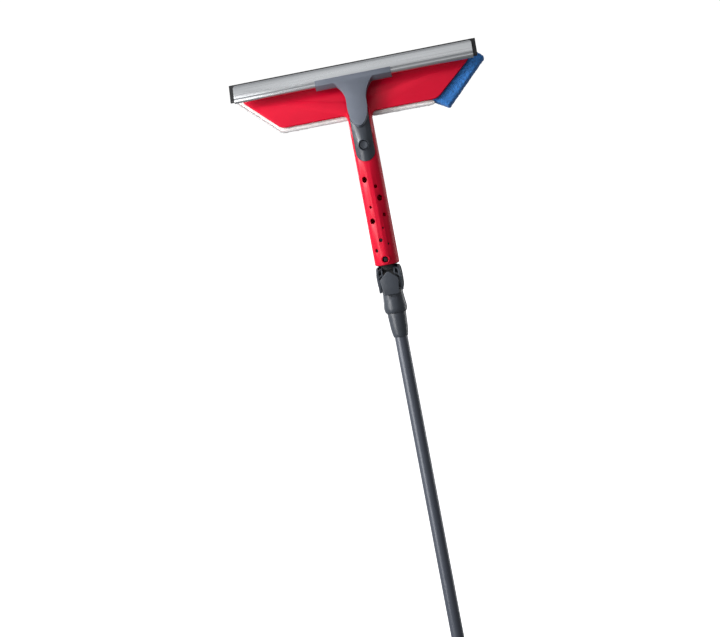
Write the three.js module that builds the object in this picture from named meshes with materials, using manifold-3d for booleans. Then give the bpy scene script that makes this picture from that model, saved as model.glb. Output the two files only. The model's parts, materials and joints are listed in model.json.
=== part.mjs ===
// Window cleaning squeegee on a telescopic pole: an aluminium rail with a rubber blade, a washer plate
// with a microfibre pad and a scouring strip, a handle, a tilt joint and a pole in two tubes.
// Millimetres. +Z runs up the pole, +X along the blade, and -Y is the front. The origin is the middle of the
// flat lower end of the pole.
import * as THREE from 'three';
import { mergeVertices } from 'three/addons/utils/BufferGeometryUtils.js';
import Module from 'manifold-3d';

const wasm = await Module();
wasm.setup();

// ---------------------------------------------------------------- driving dimensions
const GAP = 0.3;                     // clearance between pieces that fit together

// pole, lower end
const OUTER_TUBE_WALL = 1;
const SLIDE_CLEARANCE = 0.5;         // between the two tubes
const OUTER_TUBE_LENGTH = 575;
const CAP_WALL = 2.2;
const CAP_HEIGHT = 42;
const CAP_FLOOR = 22;
const CAP_EDGE = 2;
const HANG_HOLE_D = 8;
const HANG_HOLE_Z = 11;
const GRIP_LENGTH = 120;
const GRIP_WALL = 3;
const GRIP_RIBS = 9;
const GRIP_RIB_DEPTH = 1;

// twist lock
const COLLET_OVERLAP = 14;           // how far it reaches down over the outer tube
const COLLET_WALL = 3.2;
const COLLET_NOSE_LENGTH = 34;
const COLLET_NOSE_WALL = 2.4;
const COLLET_SHOULDER = 2;
const COLLET_SLOTS = 4;
const COLLET_SLOT_WIDTH = 1.6;
const COLLET_SLOT_DEPTH = 24;
const LOCK_WALL = 2.6;
const LOCK_LIP = 4;
const LOCK_TAPER = 8;
const LOCK_TAPER_IN = 2;
const LOCK_FLUTE_MARGIN = 6;
const LOCK_FLUTES = 12;
const LOCK_FLUTE_D = 3;

// pole, upper tube
const INNER_TUBE_D = 16;
const INNER_TUBE_WALL = 0.8;
const INNER_TUBE_EXPOSED = 405;      // from the twist lock to the collar, as stored
const INNER_TUBE_HIDDEN = 170;       // inside the outer tube, as stored
const BUSH_LENGTH = 18;
const BUSH_CLEARANCE = 0.2;
const BUSH_FLANGE = 6;
const COLLAR_LENGTH = 30;
const COLLAR_TOP_D = 23.2;
const COLLAR_WAIST_D = 21.2;
const COLLAR_WAIST_HEIGHT = 11;
const COLLAR_SKIRT_WALL = 1.45;
const COLLAR_SKIRT_HEIGHT = 4;
const COLLAR_LIP_WALL = 0.55;
const COLLAR_NOSE_WALL = 1;
const COLLAR_NOSE_LENGTH = 10;

// tilt joint
const SOCKET_RIM_D = 24;
const SOCKET_MAX_D = 28.2;
const SOCKET_NECK_D = 25;
const SOCKET_EDGE = 1.3;
const SOCKET_EDGE_HEIGHT = 1.5;
const SOCKET_BELLY_LOW = 5;
const SOCKET_BELLY_HIGH = 8;
const SOCKET_SHOULDER_IN = 0.6;
const SOCKET_SHOULDER_HEIGHT = 13;
const SOCKET_NECK_HEIGHT = 24;
const SOCKET_TOP = -8;               // height of its top, from the pivot
const PIVOT_ABOVE_RIM = 43;
const CHEEK_R = 15;
const FORK_WIDTH = 30.4;
const FORK_SLOT = 14;
const CHEEK_POCKET_R = 11.6;
const CHEEK_POCKET_DEPTH = 2.4;
const CHEEK_HUB_R = 4.6;
const CHEEK_RIB = 2;
const CHEEK_RIBS = 6;
const CHEEK_ROUND = 2.6;
const GROOVE_WALL = 1.4;             // between the joint's slot and the cored groove in each cheek's rim
const GROOVE_WIDTH = 3.6;
const GROOVE_FLOOR_R = 8;
const GROOVE_FOOT = -1;              // height of its lower end, from the pivot
const GROOVE_RIB = 1.3;
const GROOVE_RIB_TILT = 38;
const GROOVE_RIB_ANGLES = [18, 52, 92, 132];
const PIVOT_PIN_D = 5;
const PIVOT_PIN_INSET = 0.6;         // of its ends below the cheeks' faces
const DISC_R = 12;
const STEM_DEPTH = 12;
const SHIELD_WIDTH = 23;
const SHIELD_THICKNESS = 3;
const SHIELD_APEX = 9.5;             // above the pivot
const SHIELD_SHOULDER = -0.5;        // height of its shoulders, from the pivot
const SHIELD_FOOT = -19.8;           // height of its lower edge, from the pivot
const SHIELD_TRAVEL = 3;
const PAWL_WIDTH = 8;
const PAWL_DEPTH = 5;
const PAWL_HEIGHT = 3.6;
const PAWL_NOTCH_DEPTH = 1.5;        // in the rim of the joint's disc
const PAWL_NOTCH_FRONT = -4.5;
const EAR_WIDTH = 3;
const EAR_LENGTH = 12;
const EAR_BELOW_PIVOT = 3;
const EAR_BACK = -6;

// handle
const HANDLE_D = 30;
const HANDLE_WALL = 2.2;
const HANDLE_ABOVE_PIVOT = 16.6;
const HANDLE_LENGTH = 186.5;         // from its lower end to the lower edge of the washer plate
const HANDLE_LIP = 1.6;              // rounding of its lower edge
const PLUG_LENGTH = 46;
const PLUG_WALL = 3;
const PLUG_FLOOR = 2;                // above the handle's lower end
const PLUG_EDGE = 1;
const SNAP_HOLE_D = 7.7;
const SNAP_HOLE_HEIGHT = 7;          // above the handle's lower end
const SNAP_RING_WALL = 1.6;
const SNAP_RING_RISE = 0.7;
const SNAP_RECESS = 1;               // of the stud's face below the handle's surface
const SPRING_STRIP = 0.7;
const SPRING_STRIP_WIDTH = 6;
const SNAP_SPRING_BACK = 1.2;        // between the leaf spring and the plug's bore
const SNAP_SPRING_FOOT = 3;          // below the stud's middle
const SNAP_SPRING_BEND = 26;         // above the handle's lower end
// each round hole in the handle: angle from the front towards +X in degrees, height above the lower end,
// diameter
const HANDLE_HOLES = [
  [-30, 106, 7.7],
  [19, 96, 4.6],
  [30, 81.5, 7.7],
  [-24, 72, 3.6],
  [36, 60.5, 4.8],
  [-28, 55, 7.2],
  [17, 45, 2.6],
  [-5, 31, 4.8],
  [30, 25, 3],
  [-36, 19, 4.8],
];

// head: everything on it is set out in a plane that leans back from the handle
const HEAD_LEAN = THREE.MathUtils.degToRad(26);
const HEAD_Y = 2;                    // where the washer plate's front meets its lower edge
const PLATE_HEIGHT = 52;
const PLATE_BOTTOM_WIDTH = 193;
const PLATE_THICKNESS = 3;
const PLATE_CORNER_R = 7;
const PLATE_LOWER_CORNER_R = 15;
const TONGUE_WIDTH = 31.2;           // the plate's tongue over the handle's end
const TONGUE_DEPTH = 8;
const TONGUE_FILLET = 6;
const CHEEK_TOP = 3;                 // the handle's sides go on this far above the plate's lower edge
const CHEEK_FRONT = 6;               // and stand this far in front of the plate
const MOUNT_WALL = 3;                // slanted wall in the handle's end that the plate is screwed to
const MOUNT_WALL_FOOT = -4;          // its lower edge, from the plate's
const MOUNT_WALL_INSET = 1;          // inside the handle's surface
const PLATE_SCREW_X = 6;
const PLATE_SCREW_S = 16;
const SCREW_SHANK_D = 3;
const SCREW_HEAD_D = 6;
const SCREW_HEAD_T = 1.8;
const TAPE_T = 0.6;
const TAPE_WIDTH = 40;
const TAPE_HEIGHT = 16;
const TAPE_X = 55;
const TAPE_S = 34;
const END_TAPE_MARGIN = 1;           // of the slanted tape, inside the plate's end and the strip's edge
const END_TAPE_LOW = 14;
const END_TAPE_HIGH = 48;
const PAD_T = 10;
const PAD_MARGIN = 3.5;
const PAD_NOTCH_CLEARANCE = 1.2;     // beside the handle
const PAD_NOTCH_HEIGHT = 36;
const PAD_ABOVE_PLATE = 2;
const STRIP_LAP = 8;                 // the scouring strip laps this far behind the plate's end
const STRIP_OVERHANG = 17;           // and stands this far out beyond its lower end
const STRIP_OVERHANG_TOP = 12.4;     // and this far beyond its upper end
const STRIP_TOP = 78.5;              // along the plate's slanted end
const STRIP_T = 10;
const STRIP_FOOT_INNER = -5.2;       // its lower edge, along the plate's end
const STRIP_FOOT_OUTER = 0.3;

// squeegee
const CARRIER_WIDTH = 23;
const CARRIER_BOTTOM = 58.8;         // below the plate's lower edge
const CARRIER_PROUD = 0.4;
const CARRIER_BACK_Y = -3;
const SLAB_WIDTH = 17;
const SLAB_TOP = 30;
const SLAB_BACK = -3.2;
const BUTTON_BELOW_PLATE = 39;
const BUTTON_D = 10.6;
const BUTTON_GROOVE = 0.6;           // round the button's face
const BUTTON_RING_D = 14;
const BUTTON_RING_RISE = 1;
const BUTTON_RING_EDGE = 0.7;
const BUTTON_FLANGE_T = 1.2;
const BUTTON_FLANGE_WALL = 1.1;
const BUTTON_STEM = 4.6;             // from its face to its flange
const BUTTON_SPRING_R = 3;
const BUTTON_SPRING_WIRE_R = 0.25;
const BUTTON_SPRING_TURNS = 3;
const BUTTON_FRONT_Y = -15.1;
const RETAINER_T = 1.2;
const NECK_BACK = -8.7;
const NECK_T = 5.3;
const NECK_WIDTH = 24.4;
const NECK_TIP = -23.5;
const NECK_TIP_LENGTH = 28;
const FLARE_LOW = 14;                // where the neck starts to widen into the bar
const FLARE_HALF = 38;               // half its width at the bar's top
const FLARE_BEND_OUT = 3;            // of the curve's bend, beyond the neck's side
const FLARE_BEND_DROP = 8;           // and below the bar's top
const RAMP_LOW = 12;                 // where the neck's face starts to come forward to the bar's
const BAR_LENGTH = 93.6;
const BAR_BOTTOM = 34.4;
const BAR_TOP = 44.7;
const BAR_FRONT = -18.4;
const BAR_BACK = -8.2;
const BAR_BAND = 37;                 // lower edge of the bar's front face, above a slanted underside
const BAR_SLANT = 5.5;
const RAIL_LENGTH = 296;
const RAIL_TOP = 60.2;
const RAIL_MID = -13.7;              // middle of the rubber, in front of the plate
const RAIL_WALL = 1.2;
const REAR_FLANGE_DROP = 8;          // the rear flange stops this far below the front one
const RAIL_CORNER_R = 4;
const RAIL_BULGE = 0.5;              // of the front flange
const RAIL_LINE = 0.8;               // depth of the line pressed along the rail's front
const RAIL_LINE_ABOVE = 0.9;         // its place above the round channel
const BEAD_S = 40.4;
const BEAD_R = 1.7;
const RUBBER_T = 1.8;
const RUBBER_PROUD = 2.4;
const RUBBER_OVERHANG = 5;

// fineness of round surfaces
const FINE = 48;
const MEDIUM = 32;
const COARSE = 16;
const HOLE_SIDES = 14;
const COIL_SIDES = 8;

// ---------------------------------------------------------------- places that follow from them
const INNER_TUBE_R = INNER_TUBE_D / 2;
const INNER_BORE_R = INNER_TUBE_R - INNER_TUBE_WALL;
const OUTER_BORE_R = INNER_TUBE_R + SLIDE_CLEARANCE;
const OUTER_TUBE_R = OUTER_BORE_R + OUTER_TUBE_WALL;
const OUTER_TUBE_Z = CAP_FLOOR + GAP;
const OUTER_TUBE_TOP = OUTER_TUBE_Z + OUTER_TUBE_LENGTH;
const COLLET_TOP = OUTER_TUBE_TOP + COLLET_NOSE_LENGTH;
const LOCK_TOP = COLLET_TOP + GAP + LOCK_LIP;
const COLLAR_Z = LOCK_TOP + INNER_TUBE_EXPOSED;
const RIM_Z = COLLAR_Z + COLLAR_LENGTH;
const INNER_TUBE_TOP = RIM_Z + COLLAR_NOSE_LENGTH / 2;
const INNER_TUBE_Z = OUTER_TUBE_TOP - INNER_TUBE_HIDDEN;
const PIVOT_Z = RIM_Z + PIVOT_ABOVE_RIM;
const HANDLE_R = HANDLE_D / 2;
const HANDLE_BORE_R = HANDLE_R - HANDLE_WALL;
const HANDLE_Z = PIVOT_Z + HANDLE_ABOVE_PIVOT;
const HEAD_Z = HANDLE_Z + HANDLE_LENGTH;
const SNAP_Z = HANDLE_Z + SNAP_HOLE_HEIGHT;
const PLUG_R = HANDLE_BORE_R - GAP;
const PLUG_BORE_R = PLUG_R - PLUG_WALL;
const SHIELD_BACK_Y = -DISC_R - GAP;
const CARRIER_Z = HEAD_Z - CARRIER_BOTTOM;
const BUTTON_Z = HEAD_Z - BUTTON_BELOW_PLATE;
const BEAD_CHAMBER_R = BEAD_R + GAP;
const LIP_R = BEAD_CHAMBER_R + RAIL_WALL;
const RAIL_SLOT = RUBBER_T + 2 * GAP;
const BUTTON_FLANGE_Y = BUTTON_FRONT_Y + BUTTON_STEM;

// ---------------------------------------------------------------- solids
function solidOf(geometry) {
  const bare = geometry.clone();
  bare.deleteAttribute('normal');
  bare.deleteAttribute('uv');
  const merged = mergeVertices(bare, 1e-4);
  const index = merged.index.array;
  const kept = [];
  for (let i = 0; i < index.length; i += 3) {
    const [a, b, c] = [index[i], index[i + 1], index[i + 2]];
    if (a !== b && b !== c && c !== a) kept.push(a, b, c);
  }
  const vertProperties = new Float32Array(merged.attributes.position.array);
  const triVerts = new Uint32Array(kept);
  return new wasm.Manifold(new wasm.Mesh({ numProp: 3, vertProperties, triVerts }));
}

function geometryOf(solid) {
  const mesh = solid.getMesh();
  const geometry = new THREE.BufferGeometry();
  geometry.setAttribute('position', new THREE.BufferAttribute(mesh.vertProperties, 3));
  geometry.setIndex(new THREE.BufferAttribute(mesh.triVerts, 1));
  geometry.computeVertexNormals();
  return geometry;
}

function joined(...solids) {
  return solids.reduce((whole, solid) => whole.add(solid));
}

function cut(solid, ...tools) {
  return tools.reduce((left, tool) => left.subtract(tool), solid);
}

// a closed profile of [radius, height] pairs, counter-clockwise, turned about Z
function revolved(profile, sides = FINE) {
  const points = [...profile, profile[0]].map(([r, z]) => new THREE.Vector2(r, z));
  return solidOf(new THREE.LatheGeometry(points, sides).rotateX(Math.PI / 2));
}

function tube(outerR, innerR, low, high, sides = FINE) {
  return revolved([[innerR, low], [outerR, low], [outerR, high], [innerR, high]], sides);
}

function rod(r, low, high, sides = MEDIUM) {
  return revolved([[0, low], [r, low], [r, high], [0, high]], sides);
}

const X_AXIS = new THREE.Matrix4().makeRotationY(Math.PI / 2);
const Y_AXIS = new THREE.Matrix4().makeRotationX(-Math.PI / 2);

function placed(solid, x, y, z) {
  return solid.translate([x, y, z]);
}

function turned(solid, matrix) {
  return solid.transform(matrix.elements);
}

// a rod along X or Y from one place to another, through (x, y, z)
function rodX(r, low, high, y, z, sides = MEDIUM) {
  return placed(turned(rod(r, low, high, sides), X_AXIS), 0, y, z);
}

function rodY(r, low, high, x, z, sides = MEDIUM) {
  return placed(turned(rod(r, low, high, sides), Y_AXIS), x, 0, z);
}

function block(lowX, highX, lowY, highY, lowZ, highZ) {
  const geometry = new THREE.BoxGeometry(highX - lowX, highY - lowY, highZ - lowZ);
  geometry.translate((lowX + highX) / 2, (lowY + highY) / 2, (lowZ + highZ) / 2);
  return solidOf(geometry);
}

// an outline in x and z, given thickness along y from front to back
function sheetOf(shape, front, back, bevel = 0, curveSegments = 8) {
  const geometry = new THREE.ExtrudeGeometry(shape, {
    depth: back - front - 2 * bevel,
    bevelEnabled: bevel > 0,
    bevelThickness: bevel,
    bevelSize: bevel,
    bevelOffset: -bevel,
    bevelSegments: 2,
    curveSegments,
  });
  geometry.rotateX(Math.PI / 2);
  geometry.translate(0, back - bevel, 0);
  return solidOf(geometry);
}

// an outline in y and z, given length along x
function barOf(shape, low, high) {
  const geometry = new THREE.ExtrudeGeometry(shape, {
    depth: high - low,
    bevelEnabled: false,
    curveSegments: 6,
  });
  geometry.applyMatrix4(new THREE.Matrix4().makeBasis(
    new THREE.Vector3(0, 1, 0),
    new THREE.Vector3(0, 0, 1),
    new THREE.Vector3(1, 0, 0),
  ));
  geometry.translate(low, 0, 0);
  return solidOf(geometry);
}

// a polygon whose corners are rounded by the radius given with each point
function roundedPolygon(points) {
  const shape = new THREE.Shape();
  points.forEach(([x, y, r = 0], i) => {
    const here = new THREE.Vector2(x, y);
    const before = new THREE.Vector2(...points[(i + points.length - 1) % points.length]);
    const after = new THREE.Vector2(...points[(i + 1) % points.length]);
    const inward = before.clone().sub(here).normalize();
    const onward = after.clone().sub(here).normalize();
    const half = Math.acos(THREE.MathUtils.clamp(inward.dot(onward), -1, 1)) / 2;
    const setback = r > 0 ? r / Math.tan(half) : 0;
    const start = here.clone().addScaledVector(inward, setback);
    const end = here.clone().addScaledVector(onward, setback);
    if (i === 0) shape.moveTo(start.x, start.y);
    else shape.lineTo(start.x, start.y);
    if (r > 0) shape.quadraticCurveTo(here.x, here.y, end.x, end.y);
  });
  shape.closePath();
  return shape;
}

// a helix of round wire along Z, its ends cut square
function coil(coilR, wireR, low, high, turns) {
  const steps = turns * COIL_SIDES;
  const points = [];
  for (let i = 0; i <= steps; i += 1) {
    const angle = (i / COIL_SIDES) * 2 * Math.PI;
    const z = low + wireR + ((high - low - 2 * wireR) * i) / steps;
    points.push(new THREE.Vector3(coilR * Math.cos(angle), coilR * Math.sin(angle), z));
  }
  const section = new THREE.Shape().absarc(0, 0, wireR, 0, 2 * Math.PI);
  const path = new THREE.CatmullRomCurve3(points);
  return solidOf(new THREE.ExtrudeGeometry(section, {
    steps,
    curveSegments: 3,
    bevelEnabled: false,
    extrudePath: path,
  }));
}

// ---------------------------------------------------------------- the leaning head's own frame
// In it x runs along the blade, y back from the plate's front and z up the plate.
const LEAN = new THREE.Matrix4()
  .makeTranslation(0, HEAD_Y, HEAD_Z)
  .multiply(new THREE.Matrix4().makeRotationX(-HEAD_LEAN));

function leaning(solid) {
  return turned(solid, LEAN);
}

const FAR = 400;

// everything on the plate's side of a plane parallel to it
function behind(y) {
  return leaning(block(-FAR, FAR, y, FAR, -FAR, FAR));
}

function inFrontOf(y) {
  return leaning(block(-FAR, FAR, -FAR, y, -FAR, FAR));
}

// ---------------------------------------------------------------- pole
function endCap() {
  const outerR = OUTER_TUBE_R + GAP + CAP_WALL;
  const body = revolved([
    [0, 0],
    [outerR - CAP_EDGE, 0],
    [outerR, CAP_EDGE],
    [outerR, CAP_HEIGHT - 1],
    [outerR - 1, CAP_HEIGHT],
    [OUTER_TUBE_R + GAP, CAP_HEIGHT],
    [OUTER_TUBE_R + GAP, CAP_FLOOR],
    [0, CAP_FLOOR],
  ], MEDIUM);
  const hole = rodY(HANG_HOLE_D / 2, -FAR, FAR, 0, HANG_HOLE_Z, COARSE);
  return cut(body, hole);
}

function handGrip() {
  const low = CAP_HEIGHT + GAP;
  const innerR = OUTER_TUBE_R + GAP;
  const outerR = innerR + GRIP_WALL;
  const pitch = GRIP_LENGTH / (GRIP_RIBS + 1);
  const profile = [[innerR, low], [outerR - 1, low], [outerR, low + 1]];
  for (let i = 1; i <= GRIP_RIBS; i += 1) {
    const z = low + i * pitch;
    profile.push([outerR, z - 2], [outerR - GRIP_RIB_DEPTH, z - 1]);
    profile.push([outerR - GRIP_RIB_DEPTH, z + 1], [outerR, z + 2]);
  }
  profile.push([outerR, low + GRIP_LENGTH - 1], [outerR - 1, low + GRIP_LENGTH]);
  profile.push([innerR, low + GRIP_LENGTH]);
  return revolved(profile, COARSE);
}

function outerTube() {
  return tube(OUTER_TUBE_R, OUTER_BORE_R, OUTER_TUBE_Z, OUTER_TUBE_TOP, MEDIUM);
}

const COLLET_BASE_R = OUTER_TUBE_R + GAP + COLLET_WALL;
const COLLET_BORE_R = INNER_TUBE_R + GAP;
const COLLET_NOSE_R = COLLET_BORE_R + COLLET_NOSE_WALL;

function clampCollet() {
  const seat = OUTER_TUBE_TOP + GAP;
  const body = revolved([
    [OUTER_TUBE_R + GAP, OUTER_TUBE_TOP - COLLET_OVERLAP],
    [COLLET_BASE_R - 1, OUTER_TUBE_TOP - COLLET_OVERLAP],
    [COLLET_BASE_R, OUTER_TUBE_TOP - COLLET_OVERLAP + 1],
    [COLLET_BASE_R, seat + COLLET_SHOULDER],
    [COLLET_NOSE_R, seat + COLLET_SHOULDER],
    [COLLET_NOSE_R, COLLET_TOP],
    [COLLET_BORE_R, COLLET_TOP],
    [COLLET_BORE_R, seat],
    [OUTER_TUBE_R + GAP, seat],
  ], MEDIUM);
  const slots = [];
  for (let i = 0; i < COLLET_SLOTS / 2; i += 1) {
    const slot = block(-FAR, FAR, -COLLET_SLOT_WIDTH / 2, COLLET_SLOT_WIDTH / 2,
      COLLET_TOP - COLLET_SLOT_DEPTH, COLLET_TOP + 1);
    slots.push(slot.rotate([0, 0, (i * 360) / COLLET_SLOTS]));
  }
  return cut(body, ...slots);
}

function lockCollar() {
  const low = OUTER_TUBE_TOP + GAP + COLLET_SHOULDER + GAP;
  const boreR = COLLET_NOSE_R + GAP;
  const outerR = boreR + LOCK_WALL;
  const body = revolved([
    [boreR, low],
    [outerR, low],
    [outerR, LOCK_TOP - LOCK_TAPER],
    [outerR - LOCK_TAPER_IN, LOCK_TOP],
    [COLLET_BORE_R, LOCK_TOP],
    [COLLET_BORE_R, LOCK_TOP - LOCK_LIP],
    [boreR, LOCK_TOP - LOCK_LIP],
  ], FINE);
  const flutes = [];
  for (let i = 0; i < LOCK_FLUTES; i += 1) {
    const angle = (i / LOCK_FLUTES) * 2 * Math.PI;
    const r = outerR + LOCK_FLUTE_D / 4;
    const flute = rod(LOCK_FLUTE_D / 2, low + LOCK_FLUTE_MARGIN, LOCK_TOP - LOCK_TAPER - 1, COIL_SIDES);
    flutes.push(placed(flute, r * Math.cos(angle), r * Math.sin(angle), 0));
  }
  return cut(body, ...flutes);
}

function innerTube() {
  return tube(INNER_TUBE_R, INNER_BORE_R, INNER_TUBE_Z, INNER_TUBE_TOP, MEDIUM);
}

// a ring round the tube's lower end, with a floor under it
function guideBush() {
  const outerR = OUTER_BORE_R - BUSH_CLEARANCE;
  const floor = INNER_TUBE_Z - GAP;
  return revolved([
    [0, floor - BUSH_FLANGE],
    [outerR - 1, floor - BUSH_FLANGE],
    [outerR, floor - BUSH_FLANGE + 1],
    [outerR, floor],
    [INNER_BORE_R - GAP, floor],
    [INNER_BORE_R - GAP, floor + BUSH_LENGTH],
    [0, floor + BUSH_LENGTH],
  ], MEDIUM);
}

const COLLAR_BORE_R = INNER_TUBE_R + GAP;
const COLLAR_NOSE_R = COLLAR_BORE_R + COLLAR_NOSE_WALL;

function poleCollar() {
  const boreR = COLLAR_BORE_R;
  const tip = RIM_Z + COLLAR_NOSE_LENGTH;
  return revolved([
    [boreR, COLLAR_Z],
    [boreR + COLLAR_LIP_WALL, COLLAR_Z],
    [boreR + COLLAR_SKIRT_WALL, COLLAR_Z + COLLAR_SKIRT_HEIGHT],
    [COLLAR_WAIST_D / 2, COLLAR_Z + COLLAR_WAIST_HEIGHT],
    [COLLAR_TOP_D / 2, RIM_Z - GAP],
    [COLLAR_NOSE_R, RIM_Z - GAP],
    [COLLAR_NOSE_R, tip],
    [0, tip],
    [0, INNER_TUBE_TOP + GAP],
    [boreR, INNER_TUBE_TOP + GAP],
  ], MEDIUM);
}

// ---------------------------------------------------------------- tilt joint
function shieldShape(inset = 0) {
  const half = SHIELD_WIDTH / 2 - inset;
  return roundedPolygon([
    [-half + 2, PIVOT_Z + SHIELD_FOOT + inset, 3],
    [half - 2, PIVOT_Z + SHIELD_FOOT + inset, 3],
    [half, PIVOT_Z + SHIELD_SHOULDER, 3],
    [0, PIVOT_Z + SHIELD_APEX - inset, 3],
    [-half, PIVOT_Z + SHIELD_SHOULDER, 3],
  ]);
}

function pawlHole(clearance) {
  const half = PAWL_WIDTH / 2 + clearance;
  const top = PIVOT_Z - DISC_R - GAP;
  const low = top - PAWL_HEIGHT - clearance;
  return block(-half, half, SHIELD_BACK_Y - 1, SHIELD_BACK_Y + PAWL_DEPTH + clearance, low, top);
}

function tiltLockSlider() {
  const front = SHIELD_BACK_Y - SHIELD_THICKNESS;
  const face = sheetOf(shieldShape(), front, SHIELD_BACK_Y, 0.7, 5);
  return joined(face, pawlHole(0));
}

const LOCK_SPRING_R = 1.7;
const LOCK_SPRING_WIRE_R = 0.35;
const LOCK_SPRING_LENGTH = 9;
const LOCK_SPRING_TURNS = 5;
const LOCK_SPRING_INSET = 3.1;       // behind the joint's flat front

function lockSpringPlace() {
  const top = PIVOT_Z - DISC_R - GAP - PAWL_HEIGHT - GAP;
  return [0, SHIELD_BACK_Y + LOCK_SPRING_INSET, top - LOCK_SPRING_LENGTH];
}

function lockSpring() {
  const spring = coil(LOCK_SPRING_R, LOCK_SPRING_WIRE_R, 0, LOCK_SPRING_LENGTH, LOCK_SPRING_TURNS);
  return placed(spring, ...lockSpringPlace());
}

function cheekPocket(side) {
  const outer = FORK_WIDTH / 2 + 1;
  const floor = FORK_WIDTH / 2 - CHEEK_POCKET_DEPTH;
  const ring = cut(rod(CHEEK_POCKET_R, floor, outer, FINE), rod(CHEEK_HUB_R, floor - 1, outer + 1, MEDIUM));
  const ribs = [];
  for (let i = 0; i < CHEEK_RIBS / 2; i += 1) {
    const rib = block(-FAR, FAR, -CHEEK_RIB / 2, CHEEK_RIB / 2, floor - 1, outer + 1);
    ribs.push(rib.rotate([0, 0, 30 + (i * 360) / CHEEK_RIBS]));
  }
  const turn = new THREE.Matrix4().makeRotationY((side * Math.PI) / 2);
  return placed(turned(cut(ring, ...ribs), turn), 0, 0, PIVOT_Z);
}

// a groove round the upper part of a cheek's rim, crossed by slanting ribs
function rimGroove(side) {
  const middle = side * (FORK_SLOT / 2 + GROOVE_WALL + GROOVE_WIDTH / 2);
  const low = middle - GROOVE_WIDTH / 2;
  const high = middle + GROOVE_WIDTH / 2;
  const outer = rodX(CHEEK_R + 1, low, high, 0, 0);
  const inner = rodX(GROOVE_FLOOR_R, low - 1, high + 1, 0, 0);
  const upper = cut(outer, inner).intersect(block(-FAR, FAR, -FAR, FAR, GROOVE_FOOT, FAR));
  const half = GROOVE_RIB / 2;
  const reach = 2 * GROOVE_WIDTH;
  const ribs = GROOVE_RIB_ANGLES.map((angle) => (
    block(-reach, reach, -CHEEK_R - 2, -GROOVE_FLOOR_R / 2, -half, half)
      .rotate([0, side * GROOVE_RIB_TILT, 0])
      .translate([middle, 0, 0])
      .rotate([-angle, 0, 0])
  ));
  return placed(cut(upper, ...ribs), 0, 0, PIVOT_Z);
}

function jointFork() {
  const rimR = SOCKET_RIM_D / 2;
  const maxR = SOCKET_MAX_D / 2;
  const neckR = SOCKET_NECK_D / 2;
  const boreR = COLLAR_NOSE_R + GAP;
  const socket = revolved([
    [0, RIM_Z + COLLAR_NOSE_LENGTH + GAP],
    [boreR, RIM_Z + COLLAR_NOSE_LENGTH + GAP],
    [boreR, RIM_Z],
    [rimR, RIM_Z],
    [rimR + SOCKET_EDGE, RIM_Z + SOCKET_EDGE_HEIGHT],
    [maxR, RIM_Z + SOCKET_BELLY_LOW],
    [maxR, RIM_Z + SOCKET_BELLY_HIGH],
    [maxR - SOCKET_SHOULDER_IN, RIM_Z + SOCKET_SHOULDER_HEIGHT],
    [neckR, RIM_Z + SOCKET_NECK_HEIGHT],
    [neckR, PIVOT_Z + SOCKET_TOP],
    [0, PIVOT_Z + SOCKET_TOP],
  ]);
  const half = FORK_WIDTH / 2;
  const round = CHEEK_ROUND;
  const cheeks = placed(turned(revolved([
    [0, -half],
    [CHEEK_R - round, -half],
    [CHEEK_R - round * 0.3, -half + round * 0.3],
    [CHEEK_R, -half + round],
    [CHEEK_R, half - round],
    [CHEEK_R - round * 0.3, half - round * 0.3],
    [CHEEK_R - round, half],
    [0, half],
  ]), X_AXIS), 0, 0, PIVOT_Z);
  const slotHalf = FORK_SLOT / 2;
  const slot = joined(
    rodX(DISC_R + 1, -slotHalf, slotHalf, 0, PIVOT_Z, MEDIUM),
    block(-slotHalf, slotHalf, -FAR, FAR, PIVOT_Z, PIVOT_Z + FAR),
    block(-slotHalf, slotHalf, 0, FAR, PIVOT_Z - STEM_DEPTH / 2 - GAP, PIVOT_Z + FAR),
  );
  const flatFoot = PIVOT_Z + SHIELD_FOOT - SHIELD_TRAVEL - 2 * GAP;
  const frontFlat = block(-FAR, FAR, -FAR, SHIELD_BACK_Y + GAP, flatFoot, PIVOT_Z + FAR);
  const springBoreR = LOCK_SPRING_R + LOCK_SPRING_WIRE_R + GAP;
  const springBore = placed(rod(springBoreR, -GAP, LOCK_SPRING_LENGTH + GAP, COARSE), ...lockSpringPlace());
  const pawlSlot = joined(pawlHole(GAP), pawlHole(GAP).translate([0, 0, -SHIELD_TRAVEL]));
  const ears = [-1, 1].map((side) => {
    const x = side * (SHIELD_WIDTH / 2 + GAP + EAR_WIDTH / 2);
    const top = PIVOT_Z - EAR_BELOW_PIVOT;
    return joined(
      block(x - EAR_WIDTH / 2, x + EAR_WIDTH / 2, -DISC_R, EAR_BACK, top - EAR_LENGTH, top),
      rodY(EAR_WIDTH / 2, -DISC_R, EAR_BACK, x, top - EAR_LENGTH, COARSE),
    );
  });
  const pinBore = rodX(PIVOT_PIN_D / 2 + GAP / 2, -FAR, FAR, 0, PIVOT_Z);
  const body = cut(joined(socket, cheeks), frontFlat);
  const pockets = [-1, 1].flatMap((side) => [cheekPocket(side), rimGroove(side)]);
  const cored = cut(body, slot, pawlSlot, springBore, ...pockets, pinBore);
  return joined(cored, ...ears);
}

function pivotPin() {
  const half = FORK_WIDTH / 2 - PIVOT_PIN_INSET;
  const r = PIVOT_PIN_D / 2;
  return rodX(r, -half, half, 0, PIVOT_Z, COARSE);
}

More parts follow.
